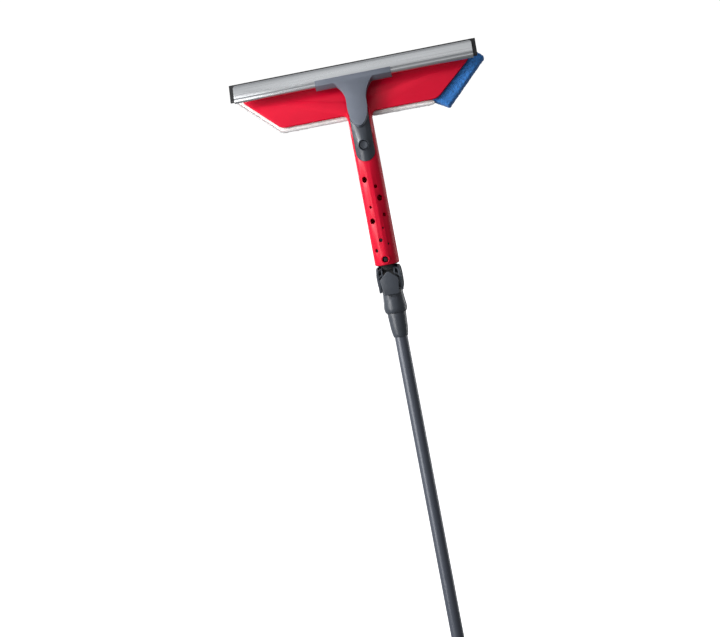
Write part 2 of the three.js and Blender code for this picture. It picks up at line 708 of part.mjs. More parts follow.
function jointHead() {
  const discHalf = FORK_SLOT / 2 - GAP;
  const disc = rodX(DISC_R, -discHalf, discHalf, 0, PIVOT_Z, FINE);
  const stemTop = HANDLE_Z + PLUG_FLOOR + 1;
  const stem = block(-discHalf, discHalf, -STEM_DEPTH / 2, STEM_DEPTH / 2, PIVOT_Z, stemTop);
  const low = PIVOT_Z + CHEEK_R + GAP;
  const plug = revolved([
    [0, low],
    [PLUG_R - PLUG_EDGE, low],
    [PLUG_R, low + PLUG_EDGE],
    [PLUG_R, HANDLE_Z + PLUG_LENGTH - PLUG_EDGE],
    [PLUG_R - PLUG_EDGE, HANDLE_Z + PLUG_LENGTH],
    [PLUG_BORE_R, HANDLE_Z + PLUG_LENGTH],
    [PLUG_BORE_R, HANDLE_Z + PLUG_FLOOR],
    [0, HANDLE_Z + PLUG_FLOOR],
  ]);
  const snapBore = rodY(SNAP_HOLE_D / 2 - GAP, -FAR, 0, 0, SNAP_Z, COARSE);
  const pinBore = rodX(PIVOT_PIN_D / 2 + GAP / 2, -FAR, FAR, 0, PIVOT_Z);
  const notchTop = PIVOT_Z - DISC_R + PAWL_NOTCH_DEPTH;
  const notch = block(-PAWL_WIDTH, PAWL_WIDTH, PAWL_NOTCH_FRONT, 0, PIVOT_Z - DISC_R - 1, notchTop);
  return cut(joined(disc, plug, stem), snapBore, pinBore, notch);
}

const SNAP_STUD_R = SNAP_HOLE_D / 2 - 2 * GAP;
const SNAP_FLANGE_Y = -PLUG_BORE_R + 0.8;

function snapButton() {
  const front = -HANDLE_R + SNAP_RECESS;
  const stud = placed(turned(revolved([
    [0, front],
    [SNAP_STUD_R - 1, front],
    [SNAP_STUD_R, front + 1],
    [SNAP_STUD_R, SNAP_FLANGE_Y],
    [0, SNAP_FLANGE_Y],
  ], COARSE), Y_AXIS), 0, 0, SNAP_Z);
  return stud;
}

function snapSpring() {
  const frontY = SNAP_FLANGE_Y + GAP;
  const backY = PLUG_BORE_R - SNAP_SPRING_BACK;
  const outerR = (backY - frontY) / 2;
  const midY = (backY + frontY) / 2;
  const low = SNAP_Z - SNAP_SPRING_FOOT;
  const bend = HANDLE_Z + SNAP_SPRING_BEND;
  const shape = new THREE.Shape();
  shape.moveTo(frontY, low);
  shape.lineTo(frontY + SPRING_STRIP, low);
  shape.lineTo(frontY + SPRING_STRIP, bend);
  shape.absarc(midY, bend, outerR - SPRING_STRIP, Math.PI, 0, true);
  shape.lineTo(backY - SPRING_STRIP, low);
  shape.lineTo(backY, low);
  shape.lineTo(backY, bend);
  shape.absarc(midY, bend, outerR, 0, Math.PI, false);
  shape.closePath();
  return barOf(shape, -SPRING_STRIP_WIDTH / 2, SPRING_STRIP_WIDTH / 2);
}

// ---------------------------------------------------------------- handle
// the space that the carrier takes in the front of the handle, open at the top
function carrierOutline(clearance) {
  const half = CARRIER_WIDTH / 2 + clearance;
  const shape = new THREE.Shape();
  shape.moveTo(-half, HEAD_Z + FAR / 4);
  shape.lineTo(-half, CARRIER_Z + CARRIER_WIDTH / 2);
  shape.absarc(0, CARRIER_Z + CARRIER_WIDTH / 2, half, Math.PI, 2 * Math.PI, false);
  shape.lineTo(half, HEAD_Z + FAR / 4);
  shape.closePath();
  return shape;
}

function carrierSpace(clearance, backY) {
  return sheetOf(carrierOutline(clearance), -FAR, backY, 0, 12);
}

function handleShell() {
  const low = HANDLE_Z;
  const high = HEAD_Z + FAR / 10;
  const wall = revolved([
    [HANDLE_BORE_R, low],
    [HANDLE_R - HANDLE_LIP, low],
    [HANDLE_R - HANDLE_LIP * 0.3, low + HANDLE_LIP * 0.3],
    [HANDLE_R, low + HANDLE_LIP],
    [HANDLE_R, high],
    [HANDLE_BORE_R, high],
  ]);
  const ring = rodY(SNAP_HOLE_D / 2 + SNAP_RING_WALL, -HANDLE_R - SNAP_RING_RISE, -HANDLE_BORE_R - 0.5, 0,
    SNAP_Z, 24);
  const mountWall = leaning(block(-HANDLE_R, HANDLE_R, PLATE_THICKNESS + GAP,
    PLATE_THICKNESS + GAP + MOUNT_WALL, MOUNT_WALL_FOOT, FAR))
    .intersect(rod(HANDLE_R - MOUNT_WALL_INSET, low, high));
  const body = joined(wall, ring, mountWall).intersect(behind(PLATE_THICKNESS + GAP));
  const holes = HANDLE_HOLES.map(([angle, height, d]) => (
    rodY(d / 2, -FAR, -HANDLE_BORE_R / 2, 0, HANDLE_Z + height, HOLE_SIDES).rotate([0, 0, angle])
  ));
  const snapHole = rodY(SNAP_HOLE_D / 2, -FAR, 0, 0, SNAP_Z, 20);
  const screwHoles = [-1, 1].map((side) => leaning(
    rodY(SCREW_SHANK_D / 2 + GAP, 0, 12, side * PLATE_SCREW_X, PLATE_SCREW_S, COARSE)));
  return cut(body, carrierSpace(GAP, -1), ...holes, snapHole, ...screwHoles);
}

// half the plate's width at a height on it: its ends slant at 45 degrees
function plateHalf(s, margin = 0) {
  return PLATE_BOTTOM_WIDTH / 2 + s + margin * Math.SQRT2;
}

function plateShape() {
  const half = TONGUE_WIDTH / 2;
  return roundedPolygon([
    [-half, -TONGUE_DEPTH, 2],
    [half, -TONGUE_DEPTH, 2],
    [half, 0, TONGUE_FILLET],
    [plateHalf(0), 0, PLATE_LOWER_CORNER_R],
    [plateHalf(PLATE_HEIGHT), PLATE_HEIGHT, PLATE_CORNER_R],
    [-plateHalf(PLATE_HEIGHT), PLATE_HEIGHT, PLATE_CORNER_R],
    [-plateHalf(0), 0, PLATE_LOWER_CORNER_R],
    [-half, 0, TONGUE_FILLET],
  ]);
}

function washerPlate() {
  const plate = leaning(sheetOf(plateShape(), 0, PLATE_THICKNESS, 0.8, 6));
  const cheekHigh = HEAD_Z + CHEEK_TOP;
  const collar = tube(HANDLE_R, HANDLE_BORE_R, HEAD_Z - 50, cheekHigh)
    .intersect(behind(-CHEEK_FRONT))
    .intersect(inFrontOf(PLATE_THICKNESS));
  const open = cut(collar, carrierSpace(GAP, -1));
  const holes = [-1, 1].map((side) => leaning(
    rodY(SCREW_SHANK_D / 2 + GAP, -1, PLATE_THICKNESS + 1, side * PLATE_SCREW_X, PLATE_SCREW_S, COARSE)));
  return cut(joined(plate, open), ...holes);
}

function plateScrew(side) {
  const r = SCREW_SHANK_D / 2;
  const headR = SCREW_HEAD_D / 2;
  const back = PLATE_THICKNESS + 2 * GAP + MOUNT_WALL + 1;
  const front = -SCREW_HEAD_T - GAP;
  const profile = [[0, front], [headR - 0.6, front], [headR, front + 0.6], [headR, -GAP], [r, -GAP]];
  profile.push([r, back - 1], [r - 1, back], [0, back]);
  const screw = turned(revolved(profile, COARSE), Y_AXIS);
  return leaning(placed(screw, side * PLATE_SCREW_X, 0, PLATE_SCREW_S));
}

const TAPE_FRONT = PLATE_THICKNESS + GAP;
const PAD_FRONT = TAPE_FRONT + TAPE_T + GAP;

function hookTape(side) {
  const x = side * TAPE_X;
  return leaning(block(x - TAPE_WIDTH / 2, x + TAPE_WIDTH / 2, TAPE_FRONT, TAPE_FRONT + TAPE_T,
    TAPE_S - TAPE_HEIGHT / 2, TAPE_S + TAPE_HEIGHT / 2));
}

// the slanted right end's own frame: x out from the end, z up along it
const END = new THREE.Matrix4()
  .makeTranslation(plateHalf(0), 0, 0)
  .multiply(new THREE.Matrix4().makeRotationY(Math.PI / 4));

function alongEnd(solid) {
  return leaning(turned(solid, END));
}

function scourerTape() {
  return alongEnd(block(-STRIP_LAP + END_TAPE_MARGIN, -END_TAPE_MARGIN, TAPE_FRONT, TAPE_FRONT + TAPE_T,
    END_TAPE_LOW, END_TAPE_HIGH));
}

function scouringStrip() {
  const shape = roundedPolygon([
    [-STRIP_LAP, STRIP_FOOT_INNER, 1],
    [STRIP_OVERHANG, STRIP_FOOT_OUTER, 1],
    [STRIP_OVERHANG_TOP, STRIP_TOP, 1],
    [-STRIP_LAP, STRIP_TOP, 1],
  ]);
  return alongEnd(sheetOf(shape, PAD_FRONT, PAD_FRONT + STRIP_T, 0, 3));
}

function microfibrePad() {
  const low = -PAD_MARGIN;
  const high = PLATE_HEIGHT + PAD_ABOVE_PLATE;
  const notchHalf = HANDLE_R + PAD_NOTCH_CLEARANCE;
  const left = (s) => -plateHalf(s, PAD_MARGIN);
  const right = (s) => plateHalf(s, -STRIP_LAP - GAP);
  const stripFoot = (STRIP_LAP + STRIP_FOOT_INNER - GAP) / Math.SQRT2;
  const footSlope = (STRIP_FOOT_OUTER - STRIP_FOOT_INNER) / (STRIP_LAP + STRIP_OVERHANG);
  const underStrip = right(stripFoot) + ((stripFoot - low) * (1 + footSlope)) / (1 - footSlope);
  const shape = roundedPolygon([
    [left(low), low, 8],
    [-notchHalf, low, 1.5],
    [-notchHalf, PAD_NOTCH_HEIGHT, 8],
    [notchHalf, PAD_NOTCH_HEIGHT, 8],
    [notchHalf, low, 1.5],
    [underStrip, low, 2],
    [right(stripFoot), stripFoot, 1],
    [right(high), high, 2],
    [left(high), high, 6],
  ]);
  return leaning(sheetOf(shape, PAD_FRONT, PAD_FRONT + PAD_T, 0, 4));
}

// ---------------------------------------------------------------- squeegee
const CARRIER_R = HANDLE_R + CARRIER_PROUD;
const BUTTON_BORE_R = BUTTON_D / 2 + BUTTON_GROOVE;
const BUTTON_CHAMBER_R = BUTTON_BORE_R + BUTTON_FLANGE_WALL;
const BUTTON_FLANGE_R = BUTTON_CHAMBER_R - GAP;
const RETAINER_BACK_Y = CARRIER_BACK_Y - GAP;
const NECK_FRONT = NECK_BACK - NECK_T;
const BRACKET_SCREW_S = 14;
const BRACKET_SCREW_WALL = 1.6;      // plastic left in front of the screw's tip
const BRACKET_SCREW_TIP = NECK_FRONT + BRACKET_SCREW_WALL;
const BRACKET_HEAD_FRONT = SLAB_BACK - SCREW_HEAD_T;

function bracketScrewSpace(clearance) {
  const shankR = SCREW_SHANK_D / 2 + clearance;
  const headR = SCREW_HEAD_D / 2 + clearance;
  const shank = rodY(shankR, BRACKET_SCREW_TIP - clearance, 0, 0, BRACKET_SCREW_S, COARSE);
  const head = rodY(headR, BRACKET_HEAD_FRONT - clearance, 0, 0, BRACKET_SCREW_S, COARSE);
  return joined(shank, head);
}

function squeegeeCarrier() {
  const front = rod(CARRIER_R, CARRIER_Z - 1, HEAD_Z + 30, FINE)
    .intersect(sheetOf(carrierOutline(0), -FAR, CARRIER_BACK_Y, 0, 12))
    .intersect(behind(NECK_BACK + GAP));
  const slabHalf = SLAB_WIDTH / 2;
  const slab = leaning(block(-slabHalf, slabHalf, NECK_BACK + GAP, SLAB_BACK, -14, SLAB_TOP));
  const ringFront = -CARRIER_R - BUTTON_RING_RISE;
  const ringR = BUTTON_RING_D / 2;
  const ring = placed(turned(revolved([
    [0, ringFront],
    [ringR - BUTTON_RING_EDGE, ringFront],
    [ringR, ringFront + BUTTON_RING_EDGE],
    [ringR, CARRIER_BACK_Y - 1],
    [0, CARRIER_BACK_Y - 1],
  ]), Y_AXIS), 0, 0, BUTTON_Z);
  const bore = rodY(BUTTON_BORE_R, -FAR, 0, 0, BUTTON_Z);
  const chamber = rodY(BUTTON_CHAMBER_R, BUTTON_FLANGE_Y - GAP, 0, 0, BUTTON_Z);
  const body = cut(joined(front, slab, ring), bore, chamber);
  return cut(body, leaning(bracketScrewSpace(GAP)));
}

function releaseButton() {
  const r = BUTTON_D / 2;
  return placed(turned(revolved([
    [0, BUTTON_FRONT_Y + 0.5],
    [r - 2, BUTTON_FRONT_Y + 0.3],
    [r - 0.6, BUTTON_FRONT_Y],
    [r, BUTTON_FRONT_Y + 0.6],
    [r, BUTTON_FLANGE_Y],
    [BUTTON_FLANGE_R, BUTTON_FLANGE_Y],
    [BUTTON_FLANGE_R, BUTTON_FLANGE_Y + BUTTON_FLANGE_T],
    [0, BUTTON_FLANGE_Y + BUTTON_FLANGE_T],
  ], MEDIUM), Y_AXIS), 0, 0, BUTTON_Z);
}

function buttonSpring() {
  const low = BUTTON_FLANGE_Y + BUTTON_FLANGE_T + GAP;
  const high = RETAINER_BACK_Y - RETAINER_T - GAP;
  const spring = coil(BUTTON_SPRING_R, BUTTON_SPRING_WIRE_R, low, high, BUTTON_SPRING_TURNS);
  return placed(turned(spring, Y_AXIS), 0, 0, BUTTON_Z);
}

function buttonRetainer() {
  return rodY(BUTTON_CHAMBER_R - GAP, RETAINER_BACK_Y - RETAINER_T, RETAINER_BACK_Y, 0, BUTTON_Z);
}

const FLARE_TOP = BAR_TOP - 0.7;

function bracketOutline() {
  const half = NECK_WIDTH / 2;
  const tipS = NECK_TIP + NECK_TIP_LENGTH;
  const bendX = half + FLARE_BEND_OUT;
  const bendS = BAR_TOP - FLARE_BEND_DROP;
  const shape = new THREE.Shape();
  shape.moveTo(-half, tipS);
  shape.absellipse(0, tipS, half, NECK_TIP_LENGTH, Math.PI, 2 * Math.PI, false);
  shape.lineTo(half, FLARE_LOW);
  shape.quadraticCurveTo(bendX, bendS, FLARE_HALF, FLARE_TOP);
  shape.lineTo(-FLARE_HALF, FLARE_TOP);
  shape.quadraticCurveTo(-bendX, bendS, -half, FLARE_LOW);
  shape.closePath();
  return shape;
}

// the neck from the side: its face sweeps forward to the bar's face
function neckProfile() {
  const shape = new THREE.Shape();
  shape.moveTo(NECK_BACK, -FAR);
  shape.lineTo(NECK_BACK, FAR);
  shape.lineTo(BAR_FRONT, FAR);
  shape.lineTo(BAR_FRONT, BAR_BAND);
  shape.quadraticCurveTo(NECK_FRONT, (RAMP_LOW + BAR_BAND) / 2, NECK_FRONT, RAMP_LOW);
  shape.lineTo(NECK_FRONT, -FAR);
  shape.closePath();
  return shape;
}

function tBracket() {
  const outline = sheetOf(bracketOutline(), BAR_FRONT, NECK_BACK, 0, 12);
  const neck = outline.intersect(barOf(neckProfile(), -FAR, FAR));
  const bar = barOf(roundedPolygon([
    [BAR_FRONT, BAR_BAND, 1.5],
    [BAR_FRONT + BAR_SLANT, BAR_BOTTOM + 0.5, 1.5],
    [BAR_BACK, BAR_BOTTOM, 2],
    [BAR_BACK, BAR_TOP - 1, 0.5],
    [BAR_FRONT, BAR_TOP, 1],
  ]), -BAR_LENGTH / 2, BAR_LENGTH / 2);
  const half = RAIL_SLOT / 2 + RAIL_WALL + GAP;
  const seat = joined(
    rodX(LIP_R + GAP, -FAR, FAR, RAIL_MID, BEAD_S, 24),
    block(-FAR, FAR, RAIL_MID - half, RAIL_MID + half, BEAD_S, FAR),
  );
  return leaning(cut(joined(neck, bar), seat, bracketScrewSpace(GAP)));
}

function bracketScrew() {
  return leaning(bracketScrewSpace(0).intersect(
    block(-FAR, FAR, -FAR, SLAB_BACK, -FAR, FAR)));
}

// the rail's section, in y and z of the head: two flanges on a round channel
function railSection() {
  const inner = RAIL_SLOT / 2;
  const outer = inner + RAIL_WALL;
  const rearTop = RAIL_TOP - REAR_FLANGE_DROP;
  const outerMeet = Math.acos(outer / LIP_R);
  const innerMeet = Math.acos(inner / BEAD_CHAMBER_R);
  const shape = new THREE.Shape();
  const lineS = BEAD_S + LIP_R * Math.sin(outerMeet) + RAIL_LINE_ABOVE;
  const bulgeY = RAIL_MID - outer - 2 * RAIL_BULGE;
  shape.moveTo(RAIL_MID - outer, RAIL_TOP);
  shape.quadraticCurveTo(bulgeY, (RAIL_TOP + lineS) / 2, RAIL_MID - outer, lineS + RAIL_LINE);
  shape.lineTo(RAIL_MID - outer + RAIL_LINE, lineS);
  shape.lineTo(RAIL_MID - outer, lineS - RAIL_LINE);
  shape.lineTo(RAIL_MID - outer, BEAD_S + LIP_R * Math.sin(outerMeet));
  shape.absarc(RAIL_MID, BEAD_S, LIP_R, Math.PI - outerMeet, outerMeet, false);
  shape.lineTo(RAIL_MID + outer, rearTop);
  shape.lineTo(RAIL_MID + inner, rearTop);
  shape.absarc(RAIL_MID, BEAD_S, BEAD_CHAMBER_R, innerMeet, Math.PI - innerMeet, true);
  shape.lineTo(RAIL_MID - inner, RAIL_TOP);
  shape.closePath();
  return shape;
}

function bladeRail() {
  const half = RAIL_LENGTH / 2;
  const low = BEAD_S - LIP_R - 1;
  const ends = roundedPolygon([
    [-half, low],
    [half, low],
    [half, RAIL_TOP, RAIL_CORNER_R],
    [-half, RAIL_TOP, RAIL_CORNER_R],
  ]);
  const profile = barOf(railSection(), -half, half);
  return leaning(profile.intersect(sheetOf(ends, -FAR, FAR)));
}

function rubberBlade() {
  const half = RUBBER_T / 2;
  const meet = Math.acos(half / BEAD_R);
  const shape = new THREE.Shape();
  shape.moveTo(RAIL_MID - half, RAIL_TOP + RUBBER_PROUD);
  shape.lineTo(RAIL_MID - half, BEAD_S + BEAD_R * Math.sin(meet));
  shape.absarc(RAIL_MID, BEAD_S, BEAD_R, Math.PI - meet, meet, false);
  shape.lineTo(RAIL_MID + half, RAIL_TOP + RUBBER_PROUD);
  shape.closePath();
  const reach = RAIL_LENGTH / 2 + RUBBER_OVERHANG;
  return leaning(barOf(shape, -reach, reach));
}

// ---------------------------------------------------------------- materials
function material(colour, roughness, metalness = 0) {
  return new THREE.MeshStandardMaterial({ color: colour, roughness, metalness });
}

const red = material(0xdb1f3d, 0.32);
const grey = material(0x747987, 0.55);
const darkGrey = material(0x43484f, 0.4);
const black = material(0x1d1d1f, 0.6);
const aluminium = material(0xd7d9dc, 0.35, 0.9);
const steel = material(0xa9adb2, 0.3, 1);
const paint = material(0x3d4048, 0.35, 0.3);
const white = material(0xf2f1ee, 0.95);
const blue = material(0x2f78c2, 0.9);

const object = new THREE.Group();

function add(name, solid, look) {
  const mesh = new THREE.Mesh(geometryOf(solid), look);
  mesh.name = name;
  object.add(mesh);
}

add('end_cap', endCap(), black);
add('outer_tube', outerTube(), paint);
add('hand_grip', handGrip(), black);
add('clamp_collet', clampCollet(), grey);
add('lock_collar', lockCollar(), darkGrey);
add('inner_tube', innerTube(), paint);
add('guide_bush', guideBush(), darkGrey);
add('pole_collar', poleCollar(), darkGrey);
add('joint_fork', jointFork(), darkGrey);
add('pivot_pin', pivotPin(), steel);
add('tilt_lock_slider', tiltLockSlider(), darkGrey);
add('lock_spring', lockSpring(), steel);
add('joint_head', jointHead(), darkGrey);
add('snap_spring', snapSpring(), steel);
add('snap_button', snapButton(), black);
add('handle_shell', handleShell(), red);
add('washer_plate', washerPlate(), red);
add('plate_screw_left', plateScrew(-1), steel);
add('plate_screw_right', plateScrew(1), steel);
add('hook_tape_left', hookTape(-1), black);
add('hook_tape_right', hookTape(1), black);
add('hook_tape_scourer', scourerTape(), black);
add('microfibre_pad', microfibrePad(), white);
add('scouring_strip', scouringStrip(), blue);
add('squeegee_carrier', squeegeeCarrier(), darkGrey);
add('release_button', releaseButton(), darkGrey);
add('button_spring', buttonSpring(), steel);
add('button_retainer', buttonRetainer(), darkGrey);
add('t_bracket', tBracket(), grey);
add('bracket_screw', bracketScrew(), steel);
add('blade_rail', bladeRail(), aluminium);
add('rubber_blade', rubberBlade(), black);

export default object;
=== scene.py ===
# A window cleaning squeegee on a telescopic pole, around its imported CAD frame. Metres, +Z up the pole,
# +X along the blade, -Y to the front.
import json
import math
import random

import bmesh
import bpy
from mathutils import Matrix, Vector, noise


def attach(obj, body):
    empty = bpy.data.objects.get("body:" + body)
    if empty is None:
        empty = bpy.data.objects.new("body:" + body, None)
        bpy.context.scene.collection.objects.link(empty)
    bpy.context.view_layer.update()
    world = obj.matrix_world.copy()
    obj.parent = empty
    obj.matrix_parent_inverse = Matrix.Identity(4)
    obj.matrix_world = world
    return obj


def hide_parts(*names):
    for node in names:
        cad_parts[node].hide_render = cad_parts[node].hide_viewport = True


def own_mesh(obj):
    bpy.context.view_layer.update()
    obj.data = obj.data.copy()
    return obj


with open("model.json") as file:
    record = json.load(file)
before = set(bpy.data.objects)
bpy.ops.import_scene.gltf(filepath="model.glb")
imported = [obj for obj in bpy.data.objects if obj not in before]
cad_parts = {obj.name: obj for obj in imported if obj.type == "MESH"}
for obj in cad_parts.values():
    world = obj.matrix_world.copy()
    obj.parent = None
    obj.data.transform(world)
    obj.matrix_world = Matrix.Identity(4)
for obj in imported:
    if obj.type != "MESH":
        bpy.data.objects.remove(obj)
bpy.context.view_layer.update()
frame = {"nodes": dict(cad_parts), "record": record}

MM = 0.001
BODY_OF = {node: body for body, nodes in frame["record"]["behaviour"]["bodies"].items() for node in nodes}
SLOT_OF = {row["node"]: row["material_slot"] for row in frame["record"]["subparts"]}


# ---------------------------------------------------------------- camera, light and floor
AZIMUTH = math.radians(6.63)
ELEVATION = math.radians(4.83)
ROLL = math.radians(-10.78)
DISTANCE = 2.2586
LENS = 92.3                             # millimetres
SENSOR_WIDTH = 36
AIM = Vector((-0.0456, 0.0, 1.0708))

HEAD = (0, 0, 1.3)
POLE = (0, 0, 0.95)
SOFTBOXES = (                           # name, place, target, size, watts
    ("key", (-1.6, -1.5, 1.2), POLE, (1.1, 2.2), 30),
    ("upper_left", (-1.85, -0.7, 2.0), HEAD, (0.5, 0.5), 42),
    ("sky", (0.25, -1.3, 3.1), HEAD, (2.8, 1.2), 6),
    ("edge", (1.5, 1.1, 1.25), POLE, (0.5, 2.4), 11),
    ("back", (-1.2, 1.9, 1.8), HEAD, (1.2, 1.6), 18),
)
AMBIENT = 0.4
AMBIENT_COLOUR = (0.95, 0.97, 1, 1)
BACKGROUND = 1.05                       # just past white, so that the background stays clear
AMBIENT_ACROSS = (1.1, 0.4)             # the world's light on the left and on the right
AMBIENT_UPWARD = (0.6, 1.25)            # the world's light below and above

FLOOR_REACH = 60
FLOOR_GREY_WITHIN = 0.1                 # distance from the pole up to which the floor glows least
FLOOR_WHITE = 1.3                       # distance from the pole at which the floor is white
FLOOR_GLOW = (0.5, 1.05)
FLOOR_COLOUR = (0.8, 0.8, 0.81, 1)
FLOOR_ROUGHNESS = 0.9


def linear(red, green, blue):
    """A screen colour from 0 to 255 as linear values."""
    def channel(value):
        share = value / 255
        return share / 12.92 if share <= 0.04045 else ((share + 0.055) / 1.055) ** 2.4
    return (channel(red), channel(green), channel(blue), 1.0)


def add_camera():
    data = bpy.data.cameras.new("camera")
    data.lens = LENS
    data.sensor_width = SENSOR_WIDTH
    camera = bpy.data.objects.new("camera", data)
    bpy.context.collection.objects.link(camera)
    ahead = Vector((-math.sin(AZIMUTH) * math.cos(ELEVATION), math.cos(AZIMUTH) * math.cos(ELEVATION),
                    -math.sin(ELEVATION)))
    side = Vector((math.cos(AZIMUTH), math.sin(AZIMUTH), 0))
    up = side.cross(ahead)
    right = side * math.cos(ROLL) + up * math.sin(ROLL)
    above = up * math.cos(ROLL) - side * math.sin(ROLL)
    basis = Matrix((right, above, -ahead)).transposed().to_4x4()
    camera.matrix_world = Matrix.Translation(AIM - ahead * DISTANCE) @ basis
    bpy.context.scene.camera = camera


def add_softbox(name, place, target, size, watts):
    data = bpy.data.lights.new(name, "AREA")
    data.shape = "RECTANGLE"
    data.size, data.size_y = size
    data.energy = watts
    light = bpy.data.objects.new(name, data)
    bpy.context.collection.objects.link(light)
    light.location = place
    light.rotation_euler = (Vector(target) - Vector(place)).to_track_quat("-Z", "Y").to_euler()


def add_world():
    """White behind the object; as light it is softer below and to the right."""
    world = bpy.data.worlds.new("studio")
    bpy.context.scene.world = world
    world.use_nodes = True
    nodes = world.node_tree.nodes
    links = world.node_tree.links
    seen = nodes.new("ShaderNodeBackground")
    seen.inputs["Color"].default_value = (1, 1, 1, 1)
    seen.inputs["Strength"].default_value = BACKGROUND
    ambient = nodes["Background"]
    ambient.inputs["Color"].default_value = AMBIENT_COLOUR
    split = nodes.new("ShaderNodeSeparateXYZ")
    links.new(nodes.new("ShaderNodeTexCoord").outputs["Generated"], split.inputs[0])
    shares = []
    for axis, (low, high) in (("X", AMBIENT_ACROSS), ("Z", AMBIENT_UPWARD)):
        share = nodes.new("ShaderNodeMapRange")
        share.inputs["From Min"].default_value = -1
        share.inputs["From Max"].default_value = 1
        share.inputs["To Min"].default_value = low
        share.inputs["To Max"].default_value = high
        links.new(split.outputs[axis], share.inputs["Value"])
        shares.append(share.outputs[0])
    product = nodes.new("ShaderNodeMath")
    product.operation = "MULTIPLY"
    links.new(shares[0], product.inputs[0])
    links.new(shares[1], product.inputs[1])
    strength = nodes.new("ShaderNodeMath")
    strength.operation = "MULTIPLY"
    strength.inputs[1].default_value = AMBIENT
    links.new(product.outputs[0], strength.inputs[0])
    links.new(strength.outputs[0], ambient.inputs["Strength"])
    path = nodes.new("ShaderNodeLightPath")
    mix = nodes.new("ShaderNodeMixShader")
    links.new(path.outputs["Is Camera Ray"], mix.inputs["Fac"])
    links.new(ambient.outputs[0], mix.inputs[1])
    links.new(seen.outputs[0], mix.inputs[2])
    links.new(mix.outputs[0], nodes["World Output"].inputs["Surface"])


def add_floor():
    """A pale floor that brightens to the white of the background away from the object."""
    mesh = bpy.data.meshes.new("floor")
    corners = [(-FLOOR_REACH, -FLOOR_REACH, 0), (FLOOR_REACH, -FLOOR_REACH, 0),
               (FLOOR_REACH, FLOOR_REACH, 0), (-FLOOR_REACH, FLOOR_REACH, 0)]
    mesh.from_pydata(corners, [], [(0, 1, 2, 3)])
    floor = bpy.data.objects.new("floor", mesh)
    bpy.context.collection.objects.link(floor)
    floor.visible_diffuse = False
    floor.visible_glossy = False
    material = bpy.data.materials.new("floor")
    material.use_nodes = True
    nodes = material.node_tree.nodes
    links = material.node_tree.links
    shader = nodes["Principled BSDF"]
    shader.inputs["Base Color"].default_value = FLOOR_COLOUR
    shader.inputs["Roughness"].default_value = FLOOR_ROUGHNESS
    shader.inputs["Emission Color"].default_value = (1, 1, 1, 1)
    distance = nodes.new("ShaderNodeVectorMath")
    distance.operation = "LENGTH"
    links.new(nodes.new("ShaderNodeTexCoord").outputs["Object"], distance.inputs[0])
    glow = nodes.new("ShaderNodeMapRange")
    glow.inputs["From Min"].default_value = FLOOR_GREY_WITHIN
    glow.inputs["From Max"].default_value = FLOOR_WHITE
    glow.inputs["To Min"].default_value = FLOOR_GLOW[0]
    glow.inputs["To Max"].default_value = FLOOR_GLOW[1]
    links.new(distance.outputs["Value"], glow.inputs["Value"])
    links.new(glow.outputs[0], shader.inputs["Emission Strength"])
    mesh.materials.append(material)


add_camera()
add_world()
for softbox in SOFTBOXES:
    add_softbox(*softbox)
add_floor()
bpy.context.scene.view_settings.view_transform = "Standard"


# ---------------------------------------------------------------- materials
NOISE_RANGE = (0.35, 0.65)              # most of a noise texture's values lie between these
UM = 0.001 * MM                         # a bump's depth is given in micrometres


class Look:
    """A procedural material: a principled shader whose colour, roughness and bump come from noise."""

    def __init__(self, name, colour, roughness, metallic=0.0):
        self.material = bpy.data.materials.new(name)
        self.material.use_nodes = True
        self.tree = self.material.node_tree
        self.shader = self.tree.nodes["Principled BSDF"]
        self.shader.inputs["Base Color"].default_value = colour
        self.shader.inputs["Roughness"].default_value = roughness
        self.shader.inputs["Metallic"].default_value = metallic
        self.colour = colour
        self.roughness = roughness
        self.place = self.tree.nodes.new("ShaderNodeTexCoord")
        self.bump_below = None

    def node(self, kind, **values):
        made = self.tree.nodes.new("ShaderNode" + kind)
        for key, value in values.items():
            made.inputs[key].default_value = value
        return made

    def link(self, output, socket):
        self.tree.links.new(output, socket)

    def coordinates(self, stretch=(1, 1, 1)):
        mapping = self.node("Mapping")
        mapping.inputs["Scale"].default_value = stretch
        self.link(self.place.outputs["Object"], mapping.inputs["Vector"])
        return mapping.outputs["Vector"]

    def noise(self, scale, detail, stretch=(1, 1, 1)):
        made = self.node("TexNoise", Scale=scale, Detail=detail)
        self.link(self.coordinates(stretch), made.inputs["Vector"])
        return made.outputs["Fac"]

    def cells(self, scale):
        made = self.node("TexVoronoi", Scale=scale)
        self.link(self.coordinates(), made.inputs["Vector"])
        return made.outputs["Distance"]

    def ramp(self, value, low, high):
        made = self.node("ValToRGB")
        for stop, position, colour in zip(made.color_ramp.elements, NOISE_RANGE, (low, high)):
            stop.position = position
            stop.color = colour
        self.link(value, made.inputs["Fac"])
        return made.outputs["Color"]

    def tint(self, value, darker, lighter):
        """The colour wanders between a darker and a lighter share of itself."""
        def share(by):
            return tuple(min(1.0, channel * by) for channel in self.colour[:3]) + (1.0,)
        self.link(self.ramp(value, share(darker), share(lighter)), self.shader.inputs["Base Color"])

    def vary_roughness(self, value, spread):
        """The roughness wanders this far below and above its own value."""
        low = (self.roughness - spread,) * 3 + (1,)
        high = (self.roughness + spread,) * 3 + (1,)
        self.link(self.ramp(value, low, high), self.shader.inputs["Roughness"])

    def bump(self, value, depth, strength=1.0):
        """Relief of this depth on top of the reliefs given before."""
        made = self.node("Bump", Strength=strength, Distance=depth)
        self.link(value, made.inputs["Height"])
        if self.bump_below:
            self.link(self.bump_below, made.inputs["Normal"])
        self.bump_below = made.outputs["Normal"]
        self.link(self.bump_below, self.shader.inputs["Normal"])

    def set(self, **values):
        for key, value in values.items():
            self.shader.inputs[key.replace("_", " ")].default_value = value


